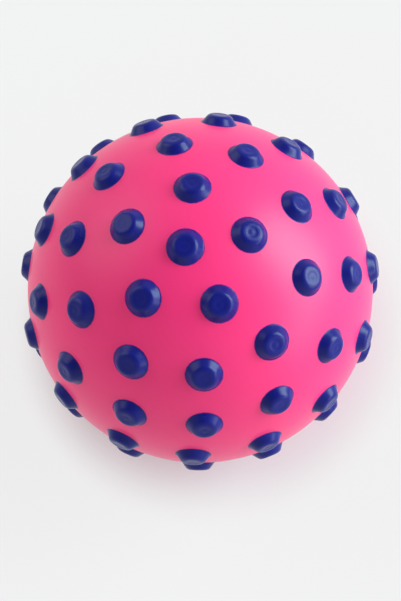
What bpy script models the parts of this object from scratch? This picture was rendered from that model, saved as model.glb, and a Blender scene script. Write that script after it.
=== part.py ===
"""Knobbly play ball: a hollow soft vinyl skin with rings of nubs and a push-in plug valve.

Metres, +Z up. The ball's polar axis is Z and the valve is in the lower pole. The origin is on the
floor under the ball's centre, where the ball stands on the five nubs round the valve.
"""
import math

import bmesh
import bpy
from mathutils import Vector
from mathutils.geometry import delaunay_2d_cdt

# Skin
SKIN_RADIUS = 0.1100
SKIN_WALL = 0.0013

# Nubs, from the flat end down to the foot: each step outwards is added to the one above it
NUB_TOP_RADIUS = 0.0055
NUB_EDGE_RUN = 0.0022
NUB_EDGE_DROP = 0.0012
NUB_CONE_RUN = 0.0025
NUB_FLARE_RUN = 0.0010
NUB_HEIGHT = 0.0048
NUB_FLARE_HEIGHT = 0.0007

# Rings of nubs from the upper pole to the ring above the equator, and each ring's turn in degrees.
# The lower half is the mirror image of the upper one.
RING_COUNTS = (1, 5, 10, 13, 15)
RING_TURNS = (0.0, 0.0, 12.6, 12.3, 15.9)

# Valve in the lower pole, at the bottom of a shallow dish in the skin
FIT_GAP = 0.0003
DISH_RUN = 0.0055
DISH_DEPTH = 0.0015
BUSH_RADIUS = 0.0070
BUSH_RECESS = 0.0006
BUSH_LIP = 0.0026
BUSH_LIP_THICKNESS = 0.0018
COLLAR_WALL = 0.0030
COLLAR_DEPTH = 0.0085
PLUG_HEAD_RADIUS = 0.0046
PLUG_HEAD_THICKNESS = 0.0014
PLUG_DISH_RADIUS = 0.0030
PLUG_DISH_DEPTH = 0.0006
PLUG_STEM_RADIUS = 0.0024
PLUG_RIB = 0.0004
PLUG_RIB_PITCH = 0.0026
PLUG_TIP = 0.0020

# Fineness of the round shapes
NUB_SIDES = 12
VALVE_SIDES = 32
LINING_BANDS = 16
FILL_POINTS = 700
FILL_MARGIN = 0.0030

# Sizes that follow from those above
RING_STEP = math.pi / (2 * len(RING_COUNTS) - 1)
LINING_RADIUS = SKIN_RADIUS - SKIN_WALL
NUB_SHOULDER_RADIUS = NUB_TOP_RADIUS + NUB_EDGE_RUN
NUB_FLARE_RADIUS = NUB_SHOULDER_RADIUS + NUB_CONE_RUN
NUB_FOOT_RADIUS = NUB_FLARE_RADIUS + NUB_FLARE_RUN
NUB_REACH = SKIN_RADIUS + NUB_HEIGHT
NUB_LOW_POINT = NUB_REACH * math.cos(RING_STEP) + NUB_TOP_RADIUS * math.sin(RING_STEP)
MOUTH_RADIUS = BUSH_RADIUS + FIT_GAP
DISH_RADIUS = MOUTH_RADIUS + DISH_RUN
DISH_EDGE = math.sqrt(SKIN_RADIUS**2 - DISH_RADIUS**2)
MOUTH_EDGE = DISH_EDGE - DISH_DEPTH
COLLAR_RADIUS = MOUTH_RADIUS + COLLAR_WALL
CENTRE_HEIGHT = max(DISH_EDGE, NUB_LOW_POINT)


def principled(name, colour, roughness):
    """A plain plastic material in one colour."""
    material = bpy.data.materials.new(name)
    material.use_nodes = True
    shader = material.node_tree.nodes["Principled BSDF"]
    shader.inputs["Base Color"].default_value = (*colour, 1.0)
    shader.inputs["Roughness"].default_value = roughness
    material.diffuse_color = (*colour, 1.0)
    return material


def direction(polar, azimuth):
    """The unit vector at an angle down from the upper pole and an angle round the axis from +X."""
    flat = math.sin(polar)
    return Vector((flat * math.cos(azimuth), flat * math.sin(azimuth), math.cos(polar)))


def nub_axes():
    """Each nub's axis with its meridian direction: the upper half, then its mirror image less the pole."""
    axes = []
    for ring, count in enumerate(RING_COUNTS):
        polar = ring * RING_STEP
        for number in range(count):
            azimuth = math.radians(RING_TURNS[ring]) + 2 * math.pi * number / count
            outward = direction(polar, azimuth)
            meridian = direction(polar + math.pi / 2, azimuth)
            axes.append((outward, meridian))
            if ring:
                mirror = Vector((1.0, 1.0, -1.0))
                axes.append((outward * mirror, meridian * mirror))
    return axes


def circle(bm, axis, start, radius, height, sides):
    """A ring of vertices round an axis through the ball's centre, at a height along that axis."""
    side = axis.cross(start)
    ring = []
    for number in range(sides):
        turn = 2 * math.pi * number / sides
        ring.append(bm.verts.new(axis * height + (start * math.cos(turn) + side * math.sin(turn)) * radius))
    return ring


def band(bm, first, second, material=0):
    """A strip of four-sided faces between two rings with the same number of vertices."""
    for number in range(len(first)):
        after = (number + 1) % len(first)
        face = bm.faces.new((first[number], first[after], second[after], second[number]))
        face.material_index = material
        face.smooth = True


def fan(bm, ring, point):
    """Triangles from a ring to one point on its axis."""
    tip = bm.verts.new(point)
    for number in range(len(ring)):
        face = bm.faces.new((ring[number], ring[(number + 1) % len(ring)], tip))
        face.smooth = True


def finished(name, bm, materials, parent, location):
    """The shape as a named object, its faces turned outwards."""
    bmesh.ops.recalc_face_normals(bm, faces=bm.faces[:])
    mesh = bpy.data.meshes.new(name)
    bm.to_mesh(mesh)
    bm.free()
    for material in materials:
        mesh.materials.append(material)
    obj = bpy.data.objects.new(name, mesh)
    bpy.context.scene.collection.objects.link(obj)
    obj.parent = parent
    obj.location = location
    return obj


def fill_points(axes):
    """Points spread over the open skin between the nubs, on a golden-angle spiral from pole to pole."""
    nub_clear = math.cos((NUB_FOOT_RADIUS + FILL_MARGIN) / SKIN_RADIUS)
    dish_clear = math.cos((DISH_RADIUS + FILL_MARGIN) / SKIN_RADIUS)
    golden = math.pi * (3.0 - math.sqrt(5.0))
    points = []
    for number in range(FILL_POINTS):
        polar = math.acos(1.0 - (2 * number + 1) / FILL_POINTS)
        point = direction(polar, golden * number)
        if -point.z > dish_clear:
            continue
        if all(point.dot(outward) < nub_clear for outward, meridian in axes):
            points.append(point * SKIN_RADIUS)
    return points


def flattened(point):
    """A point of the skin on a flat map seen from the valve, on which round feet stay round."""
    unit = point.normalized()
    return Vector((unit.x, unit.y)) / (1.0 + unit.z)


def ring_edges(start, count):
    """The closed run of edges through consecutive vertex numbers."""
    return [(start + number, start + (number + 1) % count) for number in range(count)]


def make_shell(parent, pink, blue):
    """The skin with its nubs, the valve's dish and collar and the lining, as one moulding."""
    bm = bmesh.new()
    axes = nub_axes()
    down = Vector((0.0, 0.0, -1.0))
    ahead = Vector((1.0, 0.0, 0.0))

    # Feet of the nubs, the edge of the valve's dish and the fill points, all on the skin
    foot_height = math.sqrt(SKIN_RADIUS**2 - NUB_FOOT_RADIUS**2)
    feet = []
    for outward, meridian in axes:
        feet.append(circle(bm, outward, meridian, NUB_FOOT_RADIUS, foot_height, NUB_SIDES))
    dish = circle(bm, down, ahead, DISH_RADIUS, DISH_EDGE, VALVE_SIDES)
    for point in fill_points(axes):
        bm.verts.new(point)
    bm.verts.ensure_lookup_table()

    # Open skin between the feet, triangulated on the flat map
    owners = {}
    edges = []
    for number, foot in enumerate(feet):
        edges.extend(ring_edges(number * NUB_SIDES, NUB_SIDES))
        for vertex in foot:
            owners[vertex] = number
    edges.extend(ring_edges(len(feet) * NUB_SIDES, VALVE_SIDES))
    flat = [flattened(vertex.co) for vertex in bm.verts]
    mapped = delaunay_2d_cdt(flat, edges, [], 0, 1e-9)
    skin = [bm.verts[sources[0]] for sources in mapped[3]]
    for corners in mapped[2]:
        vertices = [skin[corner] for corner in corners]
        nubs = {owners.get(vertex) for vertex in vertices}
        if len(nubs) == 1 and None not in nubs:
            continue
        face = bm.faces.new(vertices)
        face.smooth = True

    # Nubs: a flared foot, a cone, a rounded edge and a flat end
    flare_height = math.sqrt(SKIN_RADIUS**2 - NUB_FLARE_RADIUS**2) + NUB_FLARE_HEIGHT
    shoulder_height = NUB_REACH - NUB_EDGE_DROP
    for foot, (outward, meridian) in zip(feet, axes):
        flare = circle(bm, outward, meridian, NUB_FLARE_RADIUS, flare_height, NUB_SIDES)
        shoulder = circle(bm, outward, meridian, NUB_SHOULDER_RADIUS, shoulder_height, NUB_SIDES)
        end = circle(bm, outward, meridian, NUB_TOP_RADIUS, NUB_REACH, NUB_SIDES)
        band(bm, foot, flare, 1)
        band(bm, flare, shoulder, 1)
        band(bm, shoulder, end, 1)
        bm.faces.new(end).material_index = 1

    # Dish, valve mouth, collar and lining, from the skin's edge inwards and up to the upper pole
    collar_foot = MOUTH_EDGE - COLLAR_DEPTH
    collar_root = MOUTH_EDGE - SKIN_WALL
    last = dish
    valve_rings = (
        (MOUTH_RADIUS, MOUTH_EDGE),
        (MOUTH_RADIUS, collar_foot),
        (COLLAR_RADIUS, collar_foot),
        (COLLAR_RADIUS, collar_root),
    )
    for radius, height in valve_rings:
        ring = circle(bm, down, ahead, radius, height, VALVE_SIDES)
        band(bm, last, ring)
        last = ring
    start_angle = math.asin(DISH_RADIUS / LINING_RADIUS)
    for number in range(LINING_BANDS):
        angle = start_angle + (math.pi - start_angle) * number / LINING_BANDS
        radius = LINING_RADIUS * math.sin(angle)
        ring = circle(bm, down, ahead, radius, LINING_RADIUS * math.cos(angle), VALVE_SIDES)
        band(bm, last, ring)
        last = ring
    fan(bm, last, Vector((0.0, 0.0, LINING_RADIUS)))
    return finished("shell", bm, (pink, blue), parent, (0.0, 0.0, 0.0))


def turned(name, profile, hollow, material, parent, location):
    """A round piece from its (radius, depth) profile, depth measured inwards from the valve mouth."""
    bm = bmesh.new()
    up = Vector((0.0, 0.0, 1.0))
    ahead = Vector((1.0, 0.0, 0.0))
    rings = [circle(bm, up, ahead, radius, depth, VALVE_SIDES) for radius, depth in profile]
    for first, second in zip(rings, rings[1:]):
        band(bm, first, second)
    if hollow:
        band(bm, rings[-1], rings[0])
    else:
        bm.faces.new(rings[0])
        bm.faces.new(rings[-1])
    return finished(name, bm, (material,), parent, location)


def make_bush(parent, material, location):
    """The valve bush: a sleeve through the collar, held by a lip behind it."""
    head_seat = BUSH_RECESS + PLUG_HEAD_THICKNESS + FIT_GAP
    seat_radius = PLUG_HEAD_RADIUS + FIT_GAP
    bore_radius = PLUG_STEM_RADIUS + PLUG_RIB + FIT_GAP
    lip_start = COLLAR_DEPTH + FIT_GAP
    lip_end = lip_start + BUSH_LIP_THICKNESS
    profile = (
        (seat_radius, BUSH_RECESS),
        (BUSH_RADIUS, BUSH_RECESS),
        (BUSH_RADIUS, lip_start),
        (BUSH_RADIUS + BUSH_LIP, lip_start),
        (BUSH_RADIUS + BUSH_LIP, lip_end),
        (bore_radius, lip_end),
        (bore_radius, head_seat),
        (seat_radius, head_seat),
    )
    return turned("valve_bush", profile, True, material, parent, location)


def make_plug(parent, material, location):
    """The push-in plug: a dished head, a stem with two ribs and a tapered tip."""
    head_back = BUSH_RECESS + PLUG_HEAD_THICKNESS
    tip = COLLAR_DEPTH + FIT_GAP + BUSH_LIP_THICKNESS + PLUG_TIP
    rib_radius = PLUG_STEM_RADIUS + PLUG_RIB
    profile = [
        (PLUG_DISH_RADIUS - PLUG_DISH_DEPTH, BUSH_RECESS + PLUG_DISH_DEPTH),
        (PLUG_DISH_RADIUS, BUSH_RECESS),
        (PLUG_HEAD_RADIUS, BUSH_RECESS),
        (PLUG_HEAD_RADIUS, head_back),
        (PLUG_STEM_RADIUS, head_back),
    ]
    for number in (1, 2):
        middle = head_back + number * PLUG_RIB_PITCH
        profile.append((PLUG_STEM_RADIUS, middle - PLUG_RIB))
        profile.append((rib_radius, middle))
        profile.append((PLUG_STEM_RADIUS, middle + PLUG_RIB))
    profile.append((PLUG_STEM_RADIUS, tip - PLUG_TIP))
    profile.append((PLUG_STEM_RADIUS / 2, tip))
    return turned("valve_plug", profile, False, material, parent, location)


# Empty scene
for obj in list(bpy.data.objects):
    bpy.data.objects.remove(obj)

# Materials in the object's own colours
pink_vinyl = principled("pink_vinyl", (0.80, 0.055, 0.20), 0.35)
blue_vinyl = principled("blue_vinyl", (0.018, 0.022, 0.20), 0.38)
white_vinyl = principled("white_vinyl", (0.78, 0.77, 0.74), 0.45)

# Ball centre, and the valve mouth on the polar axis, which is the plug's sliding axis
centre = bpy.data.objects.new("ball_centre", None)
bpy.context.scene.collection.objects.link(centre)
centre.location = (0.0, 0.0, CENTRE_HEIGHT)
valve_mouth = (0.0, 0.0, -MOUTH_EDGE)

make_shell(centre, pink_vinyl, blue_vinyl)
make_bush(centre, white_vinyl, valve_mouth)
make_plug(centre, white_vinyl, valve_mouth)
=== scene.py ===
# %% [markdown]
# # A knobbly play ball of soft vinyl
# The ball is a hollow moulding of soft pink vinyl with blue nubs all over it and a push-in plug
# in its lower pole. The solids from the part's source carry the sizes, the joint and the collision.
# This lesson dresses them: a finer skin, finer nubs, a finished valve, real materials and soft light.

# %% Load the frame
import math

import bmesh
import bpy
from mathutils import Matrix, Vector


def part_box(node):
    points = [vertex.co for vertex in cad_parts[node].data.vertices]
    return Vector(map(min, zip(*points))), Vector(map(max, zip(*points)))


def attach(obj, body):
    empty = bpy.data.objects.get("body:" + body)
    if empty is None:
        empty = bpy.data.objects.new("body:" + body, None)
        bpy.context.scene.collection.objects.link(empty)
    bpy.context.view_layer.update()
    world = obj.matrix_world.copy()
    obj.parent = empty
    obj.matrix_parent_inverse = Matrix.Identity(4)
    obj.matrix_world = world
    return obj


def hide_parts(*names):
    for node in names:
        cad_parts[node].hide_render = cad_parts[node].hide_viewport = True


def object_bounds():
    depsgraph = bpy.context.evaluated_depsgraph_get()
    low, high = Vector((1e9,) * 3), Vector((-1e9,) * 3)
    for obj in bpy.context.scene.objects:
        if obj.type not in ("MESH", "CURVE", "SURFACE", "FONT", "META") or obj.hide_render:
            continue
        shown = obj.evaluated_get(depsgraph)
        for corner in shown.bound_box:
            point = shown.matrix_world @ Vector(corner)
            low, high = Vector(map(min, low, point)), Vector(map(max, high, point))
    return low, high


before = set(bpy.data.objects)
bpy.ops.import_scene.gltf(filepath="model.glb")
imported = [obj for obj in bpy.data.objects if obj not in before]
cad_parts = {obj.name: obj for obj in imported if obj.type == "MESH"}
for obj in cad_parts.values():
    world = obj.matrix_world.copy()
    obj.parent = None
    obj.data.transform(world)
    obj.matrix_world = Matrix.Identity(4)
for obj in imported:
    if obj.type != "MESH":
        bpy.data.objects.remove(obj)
solid_low, solid_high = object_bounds()
print("solids from", tuple(solid_low), "to", tuple(solid_high))

# %% [markdown]
# ## Where the ball is
# The frame gives the box of the solids. The skin's radius and a nub's height are the ball's own sizes,
# and together they put its centre below the top of that box. Sizes are written in millimetres, because
# that is how a toy drawing gives them, and turned to metres by one factor.

# %% Find the ball's centre
MM = 0.001
SKIN_RADIUS = 110.0 * MM
NUB_HEIGHT = 4.8 * MM
CENTRE = Vector((0.0, 0.0, solid_high.z - SKIN_RADIUS - NUB_HEIGHT))
print("ball centre", round(CENTRE.z / MM, 2), "mm above the floor")

# %% [markdown]
# ## Camera direction
# The ball is seen from high above, from about a metre away. The distance shows in how the rings of
# nubs close up towards the outline: a camera closer by would spread the nubs round the middle, and a
# long lens far away would draw them in. The picture's upper edge points along the floor, so the camera
# is turned by a direction on the floor and not by the vertical.

# %% Turn the camera
CAMERA_DISTANCE = 9.0 * SKIN_RADIUS
CAMERA_AZIMUTH = math.radians(6.6)
CAMERA_ELEVATION = math.radians(76.5)
PICTURE_UP = math.radians(77.4)


def orientation(back, up_hint):
    """The turn of a camera that looks against a direction, with the picture's up near a hint."""
    right = up_hint.cross(back).normalized()
    up = back.cross(right)
    return Matrix((right, up, back)).transposed()


flat = math.cos(CAMERA_ELEVATION)
to_camera = Vector((
    flat * math.sin(CAMERA_AZIMUTH),
    -flat * math.cos(CAMERA_AZIMUTH),
    math.sin(CAMERA_ELEVATION),
))
floor_up = Vector((math.cos(PICTURE_UP), math.sin(PICTURE_UP), 0.0))
turn = orientation(to_camera, floor_up)
picture_right, picture_up = turn.col[0].copy(), turn.col[1].copy()
print("picture's right is", [round(part, 3) for part in picture_right])

# %% [markdown]
# ## Lens and place
# The outline of a ball is where lines of sight just touch it, so the skin's radius in pixels and the
# distance give the lens. The ball isn't quite in the middle of the frame. A lens shift could do that,
# but it would stay in every other view, so the camera itself is moved sideways.

# %% Set up the camera
FRAME_WIDTH = 401
FRAME_HEIGHT = 601
SENSOR_WIDTH = 36.0
SKIN_RADIUS_PX = 172.5
BALL_CENTRE_PX = (200.3, 290.3)

focal_px = SKIN_RADIUS_PX * math.sqrt((CAMERA_DISTANCE / SKIN_RADIUS) ** 2 - 1.0)
metres_per_px = CAMERA_DISTANCE / focal_px
off_right = (FRAME_WIDTH / 2 - BALL_CENTRE_PX[0]) * metres_per_px
off_up = (BALL_CENTRE_PX[1] - FRAME_HEIGHT / 2) * metres_per_px

camera_data = bpy.data.cameras.new("photo_camera")
camera_data.sensor_width = SENSOR_WIDTH
camera_data.lens = focal_px / FRAME_HEIGHT * SENSOR_WIDTH
camera = bpy.data.objects.new("photo_camera", camera_data)
camera.matrix_world = turn.to_4x4()
camera.location = CENTRE + to_camera * CAMERA_DISTANCE + picture_right * off_right + picture_up * off_up
bpy.context.scene.collection.objects.link(camera)
bpy.context.scene.camera = camera
print("lens", round(camera_data.lens, 1), "mm at", round(CAMERA_DISTANCE, 2), "m")

# %% [markdown]
# ## Helpers for materials
# Colours are written as the sRGB hex values one would read off a print, and one function turns them
# to the linear values that shaders use. A second one adds a node, sets its values and links it, so
# that each material below reads as a list of what its surface has.

# %% Colour and node helpers
def linear(hex_code):
    """An sRGB hex colour as a linear RGBA tuple."""
    channels = [int(hex_code[start:start + 2], 16) / 255 for start in (1, 3, 5)]
    return (*[c / 12.92 if c <= 0.04045 else ((c + 0.055) / 1.055) ** 2.4 for c in channels], 1.0)


def add(tree, kind, settings=None, **inputs):
    """A node with its settings, and each input set to a value or linked to another node's socket."""
    node = tree.nodes.new(kind)
    for name, value in (settings or {}).items():
        setattr(node, name, value)
    for name, value in inputs.items():
        socket = node.inputs[int(name[1:])] if name[0] == "_" else node.inputs[name.replace("_", " ")]
        if isinstance(value, bpy.types.NodeSocket):
            tree.links.new(value, socket)
        else:
            socket.default_value = value
    return node


def new_material(name):
    """An empty node material with its output and principled shader."""
    material = bpy.data.materials.new(name)
    material.use_nodes = True
    return material, material.node_tree, material.node_tree.nodes["Principled BSDF"]


print("a grey of #808080 is", round(linear("#808080")[0], 3), "in linear light")

# %% [markdown]
# ## Moulded vinyl
# Every piece of the ball is plasticised PVC. The skin is moulded by slowly turning a heated hollow
# mould, which leaves a smooth, half-glossy surface: a slight orange peel a few millimetres across, a
# fine grain from the mould's wall, an uneven gloss, and colour that drifts a little where the wall is
# thinner. Noise in the object's own space gives all of that, with no seam such as an unwrapped picture
# would have. PVC's index of refraction is about 1.53.

# %% Vinyl helpers
VINYL_IOR = 1.53
PEEL_SIZE = 5.0 * MM
PEEL_DEPTH = 0.12 * MM
# The grain on a real ball is about 0.3 mm wide. It is drawn coarser, so that it shows.
GRAIN_SIZE = 1.3 * MM
GRAIN_DEPTH = 0.03 * MM
GRAIN_STRENGTH = 0.25
DRIFT_SIZE = 70.0 * MM
# Nearly all of a noise lies between these two values. Over them the roughness goes from a little below
# its own value to a little above it.
NOISE_RANGE = (0.3, 0.7)
GLOSS_SPREAD = (-0.04, 0.05)


def vinyl_surface(tree, shader, roughness, peel):
    """Orange peel, fine grain and an uneven gloss. Returns the object's space and the bumped normal."""
    place = add(tree, "ShaderNodeTexCoord").outputs["Object"]
    waves = add(tree, "ShaderNodeTexNoise", Vector=place, Scale=1.0 / PEEL_SIZE, Detail=1.0)
    grain = add(tree, "ShaderNodeTexNoise", Vector=place, Scale=1.0 / GRAIN_SIZE, Detail=2.0)
    coarse = add(tree, "ShaderNodeBump", Height=waves.outputs["Fac"], Strength=peel, Distance=PEEL_DEPTH)
    fine = add(tree, "ShaderNodeBump", Height=grain.outputs["Fac"], Strength=GRAIN_STRENGTH,
               Distance=GRAIN_DEPTH, Normal=coarse.outputs["Normal"])
    gloss = add(tree, "ShaderNodeTexNoise", Vector=place, Scale=1.0 / DRIFT_SIZE, Detail=3.0)
    spread = add(tree, "ShaderNodeMapRange", Value=gloss.outputs["Fac"], From_Min=NOISE_RANGE[0],
                 From_Max=NOISE_RANGE[1], To_Min=roughness + GLOSS_SPREAD[0],
                 To_Max=roughness + GLOSS_SPREAD[1])
    tree.links.new(spread.outputs["Result"], shader.inputs["Roughness"])
    shader.inputs["IOR"].default_value = VINYL_IOR
    return place, fine.outputs["Normal"]


def drifting_colour(tree, place, pale, deep):
    """A colour that drifts between two close shades over several centimetres."""
    drift = add(tree, "ShaderNodeTexNoise", Vector=place, Scale=1.0 / DRIFT_SIZE, Detail=2.0)
    return add(tree, "ShaderNodeMix", {"data_type": "RGBA"}, Factor=drift.outputs["Fac"],
               _6=linear(deep), _7=linear(pale)).outputs[2]


print("orange peel", round(PEEL_SIZE / MM, 1), "mm across, colour drift", round(DRIFT_SIZE / MM), "mm")

# %% [markdown]
# ## Pink skin
# The skin is pink right through. To the eye it is a strong, even pink with a broad soft highlight and a
# paler rim. A hair-thin line runs round the equator where the mould's halves met. A ridge in the mesh
# could give it, but it is finer than the skin's faces, so it is a bump, and it has no colour of its own.

# %% Make the pink vinyl
PINK_PALE = "#FA357D"
PINK_DEEP = "#F43077"
PINK_ROUGHNESS = 0.36
PINK_PEEL = 0.35
# Below the usual 0.5, because soft vinyl with its bloom of plasticiser is duller than a polished plastic.
PINK_SPECULAR = 0.32
# The parting line on a real ball is about 0.3 mm wide. It is drawn coarser, so that it shows.
PARTING_HALF_WIDTH = 0.7 * MM
PARTING_DEPTH = 0.10 * MM
PARTING_STRENGTH = 0.35


def make_pink_vinyl():
    """Moulded pink PVC with its orange peel and the mould's parting line."""
    material, tree, shader = new_material("moulded_pink_vinyl")
    place, normal = vinyl_surface(tree, shader, PINK_ROUGHNESS, PINK_PEEL)
    shader.inputs["Specular IOR Level"].default_value = PINK_SPECULAR
    tree.links.new(drifting_colour(tree, place, PINK_PALE, PINK_DEEP), shader.inputs["Base Color"])
    height = add(tree, "ShaderNodeSeparateXYZ", Vector=place).outputs["Z"]
    above = add(tree, "ShaderNodeMath", {"operation": "SUBTRACT"}, _0=height, _1=CENTRE.z)
    away = add(tree, "ShaderNodeMath", {"operation": "ABSOLUTE"}, _0=above.outputs[0])
    line = add(tree, "ShaderNodeMapRange", Value=away.outputs[0], From_Min=0.0,
               From_Max=PARTING_HALF_WIDTH, To_Min=1.0, To_Max=0.0)
    ridge = add(tree, "ShaderNodeBump", Height=line.outputs["Result"], Strength=PARTING_STRENGTH,
                Distance=PARTING_DEPTH, Normal=normal)
    tree.links.new(ridge.outputs["Normal"], shader.inputs["Normal"])
    return material


pink_vinyl = make_pink_vinyl()
print("made", pink_vinyl.name)

# %% [markdown]
# ## Blue on the nubs
# The nubs are the same moulding, coloured blue by spraying through a mask, so their surface is the
# skin's own and their colour fades into pink over about a millimetre at the foot. To the eye they are
# deep blue, with small cool highlights on their shoulders. A mask drawn in the skin's material could
# colour them, but it would have to know every nub's place. Instead a value stored on the nubs' points
# says how much blue there is, and a little noise makes that edge as uneven as spray.

# %% Make the sprayed blue
BLUE_PALE = "#0F1779"
BLUE_DEEP = "#0C136D"
PINK_UNDER_BLUE = "#F73482"
BLUE_ROUGHNESS = 0.28
BLUE_PEEL = 0.5
# The sprayed film lies smoother than the skin, but it mirrors less.
BLUE_SPECULAR = 0.22
# The specks of a real spray are about 0.3 mm across. They are drawn coarser, so that they show.
SPECKLE_SIZE = 1.6 * MM
SPECKLE_AMOUNT = 0.5
# Below the first of these sums of cover and speckle there is no blue, and above the second nothing else.
COVER_RANGE = (0.15, 0.75)


def make_blue_paint():
    """Blue sprayed on pink vinyl, full on the nub and fading at its foot."""
    material, tree, shader = new_material("sprayed_blue_on_vinyl")
    place, normal = vinyl_surface(tree, shader, BLUE_ROUGHNESS, BLUE_PEEL)
    shader.inputs["Specular IOR Level"].default_value = BLUE_SPECULAR
    blue = drifting_colour(tree, place, BLUE_PALE, BLUE_DEEP)
    cover = add(tree, "ShaderNodeAttribute", {"attribute_name": "cover"}).outputs["Fac"]
    speckle = add(tree, "ShaderNodeTexNoise", Vector=place, Scale=1.0 / SPECKLE_SIZE, Detail=1.0)
    uneven = add(tree, "ShaderNodeMath", {"operation": "MULTIPLY_ADD"}, _0=speckle.outputs["Fac"],
                 _1=SPECKLE_AMOUNT, _2=-SPECKLE_AMOUNT / 2)
    total = add(tree, "ShaderNodeMath", {"operation": "ADD"}, _0=cover, _1=uneven.outputs[0])
    share = add(tree, "ShaderNodeMapRange", Value=total.outputs[0], From_Min=COVER_RANGE[0],
                From_Max=COVER_RANGE[1], To_Min=0.0, To_Max=1.0)
    colour = add(tree, "ShaderNodeMix", {"data_type": "RGBA"}, Factor=share.outputs["Result"],
                 _6=linear(PINK_UNDER_BLUE), _7=blue).outputs[2]
    tree.links.new(colour, shader.inputs["Base Color"])
    tree.links.new(normal, shader.inputs["Normal"])
    return material


blue_paint = make_blue_paint()
print("made", blue_paint.name)

# %% [markdown]
# ## White valve vinyl
# The bush and the plug are cast in a stiffer white vinyl. To the eye it is satin rather than glossy, and
# slightly warm. The same helpers make it, with hardly any orange peel, because the pieces are small.

# %% Make the valve vinyl
WHITE_PALE = "#EDEBE6"
WHITE_DEEP = "#E6E3DC"
WHITE_ROUGHNESS = 0.46
WHITE_PEEL = 0.10


def make_white_vinyl():
    """Cast white PVC with a satin surface."""
    material, tree, shader = new_material("cast_white_vinyl")
    place, normal = vinyl_surface(tree, shader, WHITE_ROUGHNESS, WHITE_PEEL)
    tree.links.new(drifting_colour(tree, place, WHITE_PALE, WHITE_DEEP), shader.inputs["Base Color"])
    tree.links.new(normal, shader.inputs["Normal"])
    return material


white_vinyl = make_white_vinyl()
print("made", white_vinyl.name)

# %% [markdown]
# ## Turning round pieces
# The skin, each nub, the bush and the plug are all round about an axis, so each is turned from an
# outline. A screw modifier could do that, but bmesh's spin gives the mesh at once, as a lathe would, and
# the outline is a short list of points with its round stretches worked out as arcs.

# %% Turning helpers
MERGE_DISTANCE = 0.002 * MM


def arc(centre, radius, start, end, steps):
    """Points of an arc in the (radius, height) plane, its angles measured from the height axis."""
    points = []
    for number in range(steps + 1):
        angle = start + (end - start) * number / steps
        points.append((centre[0] + radius * math.sin(angle), centre[1] + radius * math.cos(angle)))
    return points


def turned(outline, segments, closed=False):
    """A bmesh spun from an outline of (radius, height) points round the Z axis."""
    bm = bmesh.new()
    points = [bm.verts.new((radius, 0.0, height)) for radius, height in outline]
    edges = [bm.edges.new(pair) for pair in zip(points, points[1:])]
    if closed:
        edges.append(bm.edges.new((points[-1], points[0])))
    bmesh.ops.spin(bm, geom=points + edges, cent=(0, 0, 0), axis=(0, 0, 1), angle=2 * math.pi,
                   steps=segments, use_merge=True)
    bmesh.ops.remove_doubles(bm, verts=bm.verts[:], dist=MERGE_DISTANCE)
    bmesh.ops.recalc_face_normals(bm, faces=bm.faces[:])
    return bm


print("points closer than", round(MERGE_DISTANCE / MM, 3), "mm become one")

# %% [markdown]
# ## Finishing a piece
# A turned mesh becomes a piece when it has its material, rides on a body of the frame and hides the solid
# that it stands for. Every piece needs the same few lines, so they are one function, which prints how many
# faces the piece has.

# %% Helper for a finished piece
def piece(name, bm, material, body, slot, *nodes):
    """A finished piece: smooth shaded, riding its body and standing for its solids."""
    mesh = bpy.data.meshes.new(name)
    bm.to_mesh(mesh)
    bm.free()
    mesh.shade_smooth()
    mesh.materials.append(material)
    obj = bpy.data.objects.new(name, mesh)
    bpy.context.scene.collection.objects.link(obj)
    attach(obj, body)
    if nodes:
        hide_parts(*nodes)
    print(name, len(mesh.polygons), "faces")
    return obj


# %% [markdown]
# ## Mouth of the valve
# At the lower pole the skin has a shallow dish, and in it the hole for the bush, with a thicker collar
# inside. The bush's box and a small gap all round give the radius of the hole and the collar's end.

# %% Sizes of the mouth
FIT_GAP = 0.3 * MM
DISH_RUN = 5.5 * MM
DISH_DEPTH = 1.5 * MM
COLLAR_WALL = 3.0 * MM
BUSH_RADIUS = 7.0 * MM
BUSH_LIP_THICKNESS = 1.8 * MM
bush_low, bush_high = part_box("valve_bush")
mouth_radius = BUSH_RADIUS + FIT_GAP
dish_radius = mouth_radius + DISH_RUN
collar_end = bush_high.z - BUSH_LIP_THICKNESS - FIT_GAP
print("mouth", round(2 * mouth_radius / MM, 1), "mm across, in a dish of", round(2 * dish_radius / MM, 1))

# %% [markdown]
# ## Skin
# The skin is one sphere, open at the valve. Its outline runs from under the nub at the upper pole round
# to the dish, in to the valve's mouth and up the bore to the end of the collar, with its two corners
# softened. A subdivided cube would have more even faces, but a turned sphere pinches only at its poles,
# and here one pole is under a nub and the other is the hole.

# %% Make the skin
SKIN_BANDS = 96
SKIN_SEGMENTS = 160
MOUTH_ROUND = 0.6 * MM
DISH_ROUND = 1.2 * MM
CORNER_STEPS = 5


def softened(points, index, radius):
    """The outline with one corner replaced by a curve that starts and ends a little way from it."""
    before, corner, after = (Vector(point) for point in points[index - 1:index + 2])
    start = corner + (before - corner).normalized() * radius
    end = corner + (after - corner).normalized() * radius
    curve = []
    for number in range(CORNER_STEPS + 1):
        share = number / CORNER_STEPS
        curve.append(tuple(start.lerp(corner, share).lerp(corner.lerp(end, share), share)))
    return points[:index] + curve + points[index + 1:]


def skin_outline():
    """From the upper pole to the dish, in to the valve's mouth and up the bore to the collar's end."""
    dish_polar = math.pi - math.asin(dish_radius / SKIN_RADIUS)
    points = arc((0.0, CENTRE.z), SKIN_RADIUS, 0.0, dish_polar, SKIN_BANDS)
    mouth_height = points[-1][1] + DISH_DEPTH
    points.append((mouth_radius, mouth_height))
    points.append((mouth_radius, collar_end))
    points.append((mouth_radius + COLLAR_WALL, collar_end))
    points = softened(points, SKIN_BANDS + 1, MOUTH_ROUND)
    return softened(points, SKIN_BANDS, DISH_ROUND)


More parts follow.
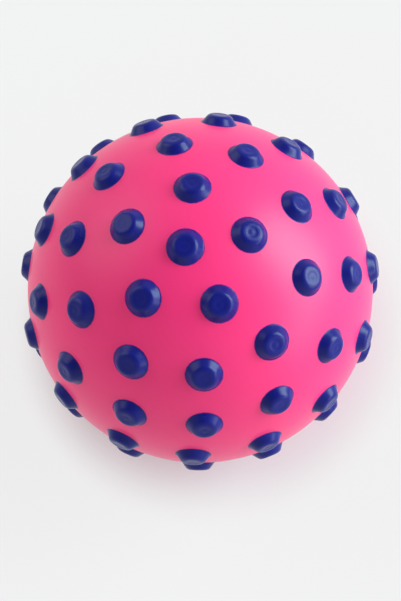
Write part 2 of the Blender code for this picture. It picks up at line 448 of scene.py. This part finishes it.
piece("ball_skin", turned(skin_outline(), SKIN_SEGMENTS), pink_vinyl, "ball", "pink_vinyl", "shell")

# %% [markdown]
# ## Shape of a nub
# A nub is a low cone with a flat end, a rounded shoulder and a foot that runs out into the skin. The
# cone's length and the end's radius follow from the height, the slope and the two roundings, so that
# the foot meets the skin without a step. The spray reaches a little past the foot, as a skirt that lies
# just above the skin, because two surfaces in the same place would flicker.

# %% Sizes of a nub
NUB_FOOT_RADIUS = 11.3 * MM
NUB_SHOULDER_ROUND = 4.0 * MM
NUB_FOOT_ROUND = 1.4 * MM
NUB_SLOPE = math.radians(54.0)
SPRAY_LIFT = 0.02 * MM
foot_slope = math.asin(NUB_FOOT_RADIUS / SKIN_RADIUS)
foot_drop = SKIN_RADIUS * (1.0 - math.cos(foot_slope)) - SPRAY_LIFT
shoulder_drop = NUB_SHOULDER_ROUND * (1.0 - math.cos(NUB_SLOPE))
foot_rise = NUB_FOOT_ROUND * (math.cos(foot_slope) - math.cos(NUB_SLOPE))
cone_length = (NUB_HEIGHT + foot_drop - shoulder_drop - foot_rise) / math.sin(NUB_SLOPE)
shoulder_run = NUB_SHOULDER_ROUND * math.sin(NUB_SLOPE)
foot_run = NUB_FOOT_ROUND * (math.sin(NUB_SLOPE) - math.sin(foot_slope))
end_radius = NUB_FOOT_RADIUS - foot_run - cone_length * math.cos(NUB_SLOPE) - shoulder_run
print("flat end", round(2 * end_radius / MM, 2), "mm across")

# %% [markdown]
# ## Outline of a nub
# The end has the faint rings that the mould leaves: a pip, a shallow dish and a rim. A bump could draw
# them, but the light on the ends follows the real shape better, so they are in the outline.

# %% Draw a nub's outline
# Each pair is a distance from the middle of the end and the dip there, both in millimetres.
END_RELIEF = ((0.0, 0.06), (0.7, 0.06), (1.5, 0.13), (2.6, 0.13), (3.8, 0.0))
RELIEF_SHARES = (1 / 3, 2 / 3, 1.0)
SHOULDER_STEPS = 7
FOOT_STEPS = 6
SKIRT_STEPS = 3
SPRAY_NONE = 11.6 * MM


def end_relief():
    """The pip in the middle of a nub's end, the shallow dish round it and the step up to the rim."""
    points = [(0.0, NUB_HEIGHT - END_RELIEF[0][1] * MM)]
    for (inner, start), (outer, end) in zip(END_RELIEF, END_RELIEF[1:]):
        for share in RELIEF_SHARES:
            ease = 0.5 - 0.5 * math.cos(math.pi * share)
            dip = start + (end - start) * ease
            points.append(((inner + (outer - inner) * share) * MM, NUB_HEIGHT - dip * MM))
    return points


def nub_outline():
    """From the middle of the end over the shoulder and down the cone to the foot and its skirt."""
    points = end_relief()
    shoulder_centre = (end_radius, NUB_HEIGHT - NUB_SHOULDER_ROUND)
    points += arc(shoulder_centre, NUB_SHOULDER_ROUND, 0.0, NUB_SLOPE, SHOULDER_STEPS)
    middle_radius = end_radius + shoulder_run + 0.5 * cone_length * math.cos(NUB_SLOPE)
    points.append((middle_radius, NUB_HEIGHT - shoulder_drop - 0.5 * cone_length * math.sin(NUB_SLOPE)))
    foot_centre = (
        NUB_FOOT_RADIUS + NUB_FOOT_ROUND * math.sin(foot_slope),
        NUB_FOOT_ROUND * math.cos(foot_slope) - foot_drop,
    )
    points += arc(foot_centre, NUB_FOOT_ROUND, math.pi + NUB_SLOPE, math.pi + foot_slope, FOOT_STEPS)
    spray_end = math.asin(SPRAY_NONE / SKIN_RADIUS)
    skirt = arc((0.0, -SKIN_RADIUS), SKIN_RADIUS + SPRAY_LIFT, foot_slope, spray_end, SKIRT_STEPS)
    return points + skirt[1:]


print("outline of a nub:", len(nub_outline()), "points")

# %% [markdown]
# ## Places of the nubs
# The nubs stand in rings round the axis, with as many in each ring as keeps them about evenly apart, and
# each ring is turned a little against the next. A spiral would be more even still, but the ball has
# rings. The lower half mirrors the upper one, and the valve takes the place of the nub at the lower pole.

# %% List the places
RING_COUNTS = (1, 5, 10, 13, 15)
RING_TURNS = tuple(math.radians(degrees) for degrees in (0.0, 0.0, 12.6, 12.3, 15.9))
RING_STEP = math.pi / (2 * len(RING_COUNTS) - 1)


def nub_places():
    """The turn and shift that set a nub on each place of the rings."""
    places = []
    for ring, count in enumerate(RING_COUNTS):
        polars = (ring * RING_STEP, math.pi - ring * RING_STEP) if ring else (0.0,)
        for number in range(count):
            azimuth = RING_TURNS[ring] + 2 * math.pi * number / count
            for polar in polars:
                spin = Matrix.Rotation(azimuth, 4, "Z") @ Matrix.Rotation(polar, 4, "Y")
                places.append(Matrix.Translation(CENTRE) @ spin @ Matrix.Translation((0, 0, SKIN_RADIUS)))
    return places


print(len(nub_places()), "nubs in rings", round(math.degrees(RING_STEP)), "degrees apart")

# %% [markdown]
# ## All the nubs
# One nub is turned and then set on each place. Instances would be lighter, but the nubs are one moulding
# with the skin, so they are one mesh and one piece. The blue's cover is stored on their points: full on
# the cone, fading over the foot and gone at the end of the skirt.

# %% Set the nubs on the skin
NUB_SEGMENTS = 36
SPRAY_FULL = 10.7 * MM


def make_nubs():
    """Every nub in one mesh, with the blue's cover stored on its points."""
    single = turned(nub_outline(), NUB_SEGMENTS)
    single.verts.index_update()
    corners = [vertex.co.copy() for vertex in single.verts]
    faces = [[vertex.index for vertex in face.verts] for face in single.faces]
    single.free()
    bm = bmesh.new()
    cover = bm.verts.layers.float.new("cover")
    for place in nub_places():
        verts = []
        for corner in corners:
            vertex = bm.verts.new(place @ corner)
            inside = (SPRAY_NONE - math.hypot(corner.x, corner.y)) / (SPRAY_NONE - SPRAY_FULL)
            vertex[cover] = min(1.0, max(0.0, inside))
            verts.append(vertex)
        for face in faces:
            bm.faces.new([verts[number] for number in face])
    return bm


piece("nubs", make_nubs(), blue_paint, "ball", "blue_vinyl")

# %% [markdown]
# ## Valve
# The bush is a soft white sleeve in the skin's collar, and the plug is pushed into it until its dished
# head is flush. Both keep the sizes of their solids, which the frame and the plug's own sizes give.

# %% Sizes of the valve
PLUG_HEAD_THICKNESS = 1.4 * MM
PLUG_STEM_RADIUS = 2.4 * MM
PLUG_RIB = 0.4 * MM
plug_low, plug_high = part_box("valve_plug")
plug_head_radius = (plug_high.x - plug_low.x) / 2
plug_head_back = plug_low.z + PLUG_HEAD_THICKNESS
seat_radius = plug_head_radius + FIT_GAP
bore_radius = PLUG_STEM_RADIUS + PLUG_RIB + FIT_GAP
lip_radius = (bush_high.x - bush_low.x) / 2
print("bore", round(2 * bore_radius / MM, 1), "mm, lip", round(2 * lip_radius / MM, 1), "mm across")

# %% [markdown]
# ## Bush
# The bush is turned from a closed outline. Cast vinyl has no sharp edges, and a bevel modifier rounds
# them all, where arcs in the outline would need one for each corner.

# %% Make the bush
VALVE_SEGMENTS = 64
CAST_ROUND = 0.25 * MM
CAST_ROUND_SEGMENTS = 3
CAST_CORNER = math.radians(40.0)


def round_edges(obj):
    """The small rounded edges that a cast piece has, on every corner sharper than a limit."""
    bevel = obj.modifiers.new("cast_edges", "BEVEL")
    bevel.width = CAST_ROUND
    bevel.segments = CAST_ROUND_SEGMENTS
    bevel.limit_method = "ANGLE"
    bevel.angle_limit = CAST_CORNER


def bush_outline():
    """The sleeve through the collar, the lip behind it, the bore and the seat of the plug's head."""
    seat_back = plug_head_back + FIT_GAP
    lip_start = collar_end + FIT_GAP
    return [
        (seat_radius, bush_low.z),
        (BUSH_RADIUS, bush_low.z),
        (BUSH_RADIUS, lip_start),
        (lip_radius, lip_start),
        (lip_radius, bush_high.z),
        (bore_radius, bush_high.z),
        (bore_radius, seat_back),
        (seat_radius, seat_back),
    ]


round_edges(piece("valve_sleeve", turned(bush_outline(), VALVE_SEGMENTS, True), white_vinyl,
                  "ball", "white_vinyl", "valve_bush"))

# %% [markdown]
# ## Plug
# The plug has a head with a shallow dish for a fingertip, a stem with two ribs that grip the bore, and a
# tip that tapers so that it finds the hole. It is turned too, from an open outline that starts and ends
# on the axis. It rides on its own body, so it slides out of the bush when the joint moves.

# %% Make the plug
PLUG_DISH_DEPTH = 0.6 * MM
PLUG_DISH_FLOOR_RADIUS = 2.4 * MM
PLUG_DISH_RIM_RADIUS = 3.0 * MM
PLUG_RIBS = 2
PLUG_RIB_PITCH = 2.6 * MM
PLUG_TIP_LENGTH = 2.0 * MM


def plug_outline():
    """The dished head, the ribbed stem and the tapered tip."""
    points = [
        (0.0, plug_low.z + PLUG_DISH_DEPTH),
        (PLUG_DISH_FLOOR_RADIUS, plug_low.z + PLUG_DISH_DEPTH),
        (PLUG_DISH_RIM_RADIUS, plug_low.z),
        (plug_head_radius, plug_low.z),
        (plug_head_radius, plug_head_back),
        (PLUG_STEM_RADIUS, plug_head_back),
    ]
    for number in range(1, PLUG_RIBS + 1):
        middle = plug_head_back + number * PLUG_RIB_PITCH
        points.append((PLUG_STEM_RADIUS, middle - PLUG_RIB))
        points.append((PLUG_STEM_RADIUS + PLUG_RIB, middle))
        points.append((PLUG_STEM_RADIUS, middle + PLUG_RIB))
    points.append((PLUG_STEM_RADIUS, plug_high.z - PLUG_TIP_LENGTH))
    points.append((PLUG_STEM_RADIUS / 2, plug_high.z))
    points.append((0.0, plug_high.z))
    return points


round_edges(piece("valve_stopper", turned(plug_outline(), VALVE_SEGMENTS), white_vinyl,
                  "plug", "white_vinyl", "valve_plug"))

# %% [markdown]
# ## Pale board
# The ball stands on a plain pale board. It is evened out away from the shadow, as a lit backdrop is. It
# also gives off a little light of its own, as a light table does, so that the valve isn't black. Less of
# that light is seen than falls on the ball, which keeps the shadow. Seen from below the board is clear,
# so that the valve can be looked at too. A lamp under the ball could light the valve, but the board
# would stand in its way.

# %% Make the board's paint
BOARD_COLOUR = "#E2E2E3"
BOARD_ROUGHNESS = 0.7
BACKDROP_COLOUR = "#F4F4F4"
# The board is its own tone within the first distance from the ball's foot, and evened out at the second.
SHADOW_REACH = (0.88 * SKIN_RADIUS, 1.33 * SKIN_RADIUS)
FLOOR_EVENING = (0.0, 0.85)
UNDER_GLOW = 0.25
SEEN_GLOW = 0.05


def make_board_paint():
    """Pale paint that is solid from above and clear from below."""
    material, tree, shader = new_material("painted_pale_board")
    shader.inputs["Base Color"].default_value = linear(BOARD_COLOUR)
    shader.inputs["Roughness"].default_value = BOARD_ROUGHNESS
    shader.inputs["Emission Color"].default_value = linear(BOARD_COLOUR)
    glow = add(tree, "ShaderNodeEmission", Color=linear(BACKDROP_COLOUR), Strength=1.0)
    place = add(tree, "ShaderNodeTexCoord").outputs["Object"]
    away = add(tree, "ShaderNodeVectorMath", {"operation": "LENGTH"}, _0=place)
    even = add(tree, "ShaderNodeMapRange", {"interpolation_type": "SMOOTHSTEP"},
               Value=away.outputs["Value"], From_Min=SHADOW_REACH[0], From_Max=SHADOW_REACH[1],
               To_Min=FLOOR_EVENING[0], To_Max=FLOOR_EVENING[1])
    path = add(tree, "ShaderNodeLightPath").outputs
    mirrored = add(tree, "ShaderNodeMath", {"operation": "MAXIMUM"}, _0=path["Is Glossy Ray"],
                   _1=path["Is Transmission Ray"])
    seen = add(tree, "ShaderNodeMath", {"operation": "MAXIMUM"}, _0=path["Is Camera Ray"],
               _1=mirrored.outputs[0])
    fill = add(tree, "ShaderNodeMath", {"operation": "MULTIPLY_ADD"}, _0=seen.outputs[0],
               _1=SEEN_GLOW - UNDER_GLOW, _2=UNDER_GLOW)
    tree.links.new(fill.outputs[0], shader.inputs["Emission Strength"])
    share = add(tree, "ShaderNodeMath", {"operation": "MULTIPLY"}, _0=seen.outputs[0],
                _1=even.outputs["Result"])
    board = add(tree, "ShaderNodeMixShader", _0=share.outputs[0], _1=shader.outputs[0], _2=glow.outputs[0])
    side = add(tree, "ShaderNodeNewGeometry").outputs["Backfacing"]
    clear = add(tree, "ShaderNodeBsdfTransparent")
    mixed = add(tree, "ShaderNodeMixShader", _0=side, _1=board.outputs[0], _2=clear.outputs[0])
    tree.links.new(mixed.outputs[0], tree.nodes["Material Output"].inputs["Surface"])
    return material


board_paint = make_board_paint()
print("made", board_paint.name)

# %% [markdown]
# ## Floor
# A flat sheet is enough for the floor, since only its tone and the ball's shadow show. It is so wide
# that no view from above sees its edge, where a curved backdrop would have to turn with each view.

# %% Lay the floor
FLOOR_HALF = 15.0


def make_floor():
    """A wide flat sheet at the height of the nubs that the ball stands on."""
    bm = bmesh.new()
    bmesh.ops.create_grid(bm, x_segments=1, y_segments=1, size=FLOOR_HALF)
    mesh = bpy.data.meshes.new("floor")
    bm.to_mesh(mesh)
    bm.free()
    mesh.materials.append(board_paint)
    floor = bpy.data.objects.new("floor", mesh)
    bpy.context.scene.collection.objects.link(floor)


make_floor()
print("floor", 2 * FLOOR_HALF, "m across")

# %% [markdown]
# ## Light
# The photo's light is a bright room with a wide soft window on the right: the floor is evenly lit, the
# ball is brighter on that side, and a broad highlight lies there. The window's light is the sky's, which
# shows as a cooler blue on the nubs that mirror it. A pale wall gives a fainter highlight on the left,
# and more light lies low on the right. Lamps could give these, but near ones would burn out the floor in
# front of them, so they are bright patches with soft edges in a dome round the scene.

# %% Patches of light
WINDOW_LEVEL = 8.6
WINDOW_COLOUR = "#E7FFFF"
# A patch's direction is in the picture's right, up and towards the camera. Then come the angles in degrees
# at which it is full and gone, and its level. The window is two patches that run into each other.
WINDOW = (((0.75, 0.47, 0.46), 12.0, 20.0, 1.0), ((0.92, 0.24, 0.30), 12.0, 20.0, 1.0))
LOW_LIGHT = ((0.92, -0.33, 0.20), 8.0, 22.0, 4.6)
WALL = ((-0.74, 0.52, 0.36), 18.0, 32.0, 2.0)


def patch(tree, towards, direction, full, end, level):
    """A round patch in the dome, at its level within one angle of a direction and gone at another."""
    right, up, near = direction
    middle = (picture_right * right + picture_up * up + to_camera * near).normalized()
    facing = add(tree, "ShaderNodeVectorMath", {"operation": "DOT_PRODUCT"}, _0=towards, _1=middle)
    return add(tree, "ShaderNodeMapRange", {"interpolation_type": "SMOOTHSTEP"},
               Value=facing.outputs["Value"], From_Min=math.cos(math.radians(end)),
               From_Max=math.cos(math.radians(full)), To_Min=0.0, To_Max=level).outputs["Result"]


print("window adds", WINDOW_LEVEL, "to the dome's level")

# %% [markdown]
# ## Dome
# The rest of the room is even, a little brighter on the right. The nubs' flat ends mirror the space
# behind the camera and stay deep blue, so the dome is dim overhead. A gradient by height does that.
# A dark card over the ball would too, but its shadow would lie on the floor.

# %% Set up the dome
DOME_LEVEL = 0.72
DOME_LEAN = 0.2
OVERHEAD_LEVEL = 0.18
# The sine of the height above the horizon at which the dome starts to dim, and at which it is dimmest.
OVERHEAD_RANGE = (0.5, 0.97)
ROOM_COLOUR = "#FFFFFF"


def make_dome():
    """Surroundings that are dim overhead, lean in brightness to the right and hold the bright patches."""
    world = bpy.data.worlds.new("studio_dome")
    world.use_nodes = True
    bpy.context.scene.world = world
    tree = world.node_tree
    towards = add(tree, "ShaderNodeTexCoord").outputs["Generated"]
    height = add(tree, "ShaderNodeSeparateXYZ", Vector=towards).outputs["Z"]
    overhead = add(tree, "ShaderNodeMapRange", Value=height, From_Min=OVERHEAD_RANGE[0],
                   From_Max=OVERHEAD_RANGE[1], To_Min=DOME_LEVEL, To_Max=OVERHEAD_LEVEL)
    across = add(tree, "ShaderNodeVectorMath", {"operation": "DOT_PRODUCT"}, _0=towards, _1=picture_right)
    lean = add(tree, "ShaderNodeMath", {"operation": "MULTIPLY_ADD"}, _0=across.outputs["Value"],
               _1=DOME_LEAN, _2=1.0)
    level = add(tree, "ShaderNodeMath", {"operation": "MULTIPLY"}, _0=overhead.outputs["Result"],
                _1=lean.outputs[0])
    for light in (LOW_LIGHT, WALL):
        level = add(tree, "ShaderNodeMath", {"operation": "MAXIMUM"}, _0=level.outputs[0],
                    _1=patch(tree, towards, *light))
    window = add(tree, "ShaderNodeMath", {"operation": "MAXIMUM"}, _0=patch(tree, towards, *WINDOW[0]),
                 _1=patch(tree, towards, *WINDOW[1])).outputs[0]
    total = add(tree, "ShaderNodeMath", {"operation": "MULTIPLY_ADD"}, _0=window, _1=WINDOW_LEVEL,
                _2=level.outputs[0])
    tint = add(tree, "ShaderNodeMix", {"data_type": "RGBA"}, Factor=window, _6=linear(ROOM_COLOUR),
               _7=linear(WINDOW_COLOUR))
    tree.links.new(total.outputs[0], tree.nodes["Background"].inputs["Strength"])
    tree.links.new(tint.outputs[2], tree.nodes["Background"].inputs["Color"])
    return world


dome = make_dome()
bpy.context.scene.view_settings.view_transform = "Standard"
print(dome.name, "at", DOME_LEVEL, "round the sides and", OVERHEAD_LEVEL, "overhead")
